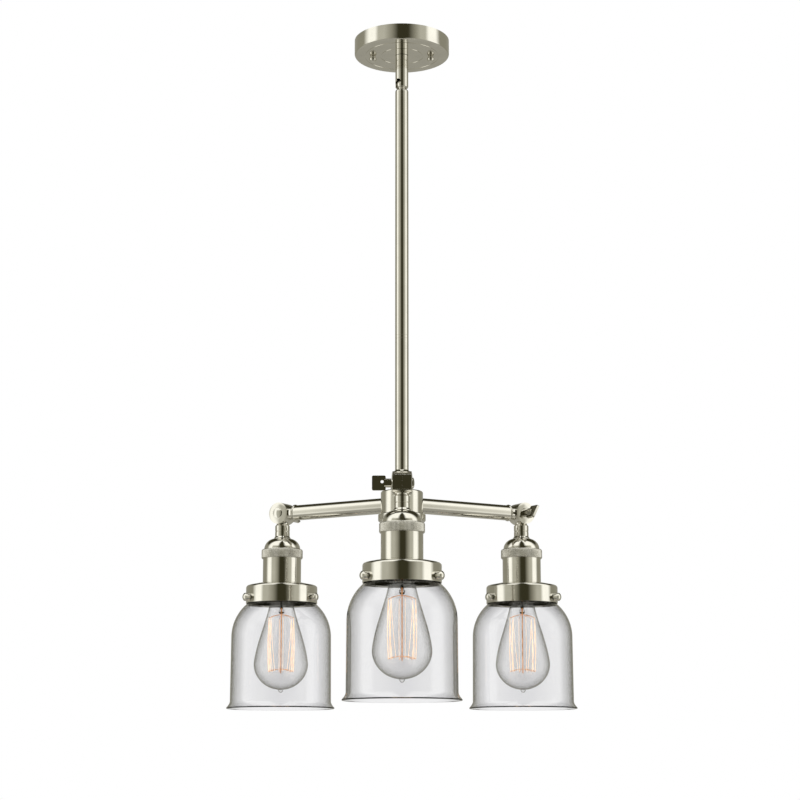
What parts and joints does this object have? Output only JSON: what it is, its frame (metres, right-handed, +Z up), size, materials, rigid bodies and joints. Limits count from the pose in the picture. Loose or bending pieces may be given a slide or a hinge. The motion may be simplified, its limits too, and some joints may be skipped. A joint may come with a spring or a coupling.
{
  "type": "three-light pendant",
  "caption": "Ceiling pendant with a round canopy, ball swivel, jointed stem and tilting arms that carry clear bell glasses over long-filament bulbs.",
  "frame": {"origin": "on the stem's axis, in the plane of the ceiling, at the centre of the box-screw slots", "axes": "+Z up along the stem; +X along the crossbar and the two cap nuts; one arm points to -Y"},
  "size_m": [0.413, 0.3746, 0.7982],
  "materials": {
    "polished_nickel": "polished nickel plate on brass",
    "knurled_nickel": "nickel plate over a fine knurl",
    "plated_steel": "zinc-plated steel",
    "clear_glass": "clear blown glass",
    "bulb_clear_glass": "clear thin glass",
    "base_brass": "plain brass",
    "socket_ceramic": "white glazed porcelain",
    "filament_wire": "glowing filament wire on a glass mount",
    "lead_insulation": "insulated lead"
  },
  "bodies": {
    "canopy": {"canopy": "polished_nickel", "crossbar": "plated_steel", "canopy_studs": "plated_steel", "cap_nuts": "polished_nickel", "nipple": "plated_steel", "nipple_nut": "plated_steel"},
    "swivel": {"swivel_body": "polished_nickel"},
    "swivel_ball": {"swivel_ball": "polished_nickel"},
    "stem": {"rod_long": "polished_nickel", "rod_short": "polished_nickel", "rod_couplings": "polished_nickel", "hub": "polished_nickel", "hub_cover": "polished_nickel", "wiring": "lead_insulation", "pivot_nuts": "polished_nickel", "arm_1": "polished_nickel", "arm_end_1": "polished_nickel", "arm_2": "polished_nickel", "arm_end_2": "polished_nickel", "arm_3": "polished_nickel", "arm_end_3": "polished_nickel"},
    "key_1": {"thumb_key_1": "polished_nickel"},
    "lamp_1": {"lamp_swivel_1": "polished_nickel", "socket_cap_1": "polished_nickel", "socket_ring_1": "knurled_nickel", "socket_shell_1": "polished_nickel", "socket_insulator_1": "socket_ceramic", "screw_shell_1": "base_brass", "shade_holder_1": "polished_nickel", "holder_screws_1": "polished_nickel", "bell_glass_1": "clear_glass", "bulb_glass_1": "bulb_clear_glass", "bulb_base_1": "base_brass", "bulb_filament_1": "filament_wire"},
    "key_2": {"thumb_key_2": "polished_nickel"},
    "lamp_2": {"lamp_swivel_2": "polished_nickel", "socket_cap_2": "polished_nickel", "socket_ring_2": "knurled_nickel", "socket_shell_2": "polished_nickel", "socket_insulator_2": "socket_ceramic", "screw_shell_2": "base_brass", "shade_holder_2": "polished_nickel", "holder_screws_2": "polished_nickel", "bell_glass_2": "clear_glass", "bulb_glass_2": "bulb_clear_glass", "bulb_base_2": "base_brass", "bulb_filament_2": "filament_wire"},
    "key_3": {"thumb_key_3": "polished_nickel"},
    "lamp_3": {"lamp_swivel_3": "polished_nickel", "socket_cap_3": "polished_nickel", "socket_ring_3": "knurled_nickel", "socket_shell_3": "polished_nickel", "socket_insulator_3": "socket_ceramic", "screw_shell_3": "base_brass", "shade_holder_3": "polished_nickel", "holder_screws_3": "polished_nickel", "bell_glass_3": "clear_glass", "bulb_glass_3": "bulb_clear_glass", "bulb_base_3": "base_brass", "bulb_filament_3": "filament_wire"}
  },
  "joints": [
    {"name": "swivel_turn", "type": "hinge", "parent": "canopy", "child": "swivel", "pos_m": [0, 0, -0.019], "axis": [0, 0, 1], "range_deg": [-180, 180]},
    {"name": "stem_tilt", "type": "hinge", "parent": "swivel", "child": "swivel_ball", "pos_m": [0, 0, -0.0556], "axis": [-0.7314, 0.682, 0], "range_deg": [-10, 30]},
    {"name": "stem_spin", "type": "hinge", "parent": "swivel_ball", "child": "stem", "pos_m": [0, 0, -0.0556], "axis": [0, 0, 1], "range_deg": [-170, 170]},
    {"name": "lamp_tilt_1", "type": "hinge", "parent": "stem", "child": "lamp_1", "pos_m": [0, -0.1651, -0.567], "axis": [-1, 0, 0], "range_deg": [-12, 180]},
    {"name": "lamp_tilt_2", "type": "hinge", "parent": "stem", "child": "lamp_2", "pos_m": [0.14298, 0.08255, -0.567], "axis": [0.5, -0.866, 0], "range_deg": [-12, 180]},
    {"name": "lamp_tilt_3", "type": "hinge", "parent": "stem", "child": "lamp_3", "pos_m": [-0.14298, 0.08255, -0.567], "axis": [0.5, 0.866, 0], "range_deg": [-12, 180]},
    {"name": "key_turn_1", "type": "hinge", "parent": "stem", "child": "key_1", "pos_m": [0, -0.1651, -0.567], "axis": [-1, 0, 0], "range_deg": [0, 360]},
    {"name": "key_turn_2", "type": "hinge", "parent": "stem", "child": "key_2", "pos_m": [0.14298, 0.08255, -0.567], "axis": [0.5, -0.866, 0], "range_deg": [0, 360]},
    {"name": "key_turn_3", "type": "hinge", "parent": "stem", "child": "key_3", "pos_m": [-0.14298, 0.08255, -0.567], "axis": [0.5, 0.866, 0], "range_deg": [0, 360]}
  ]
}
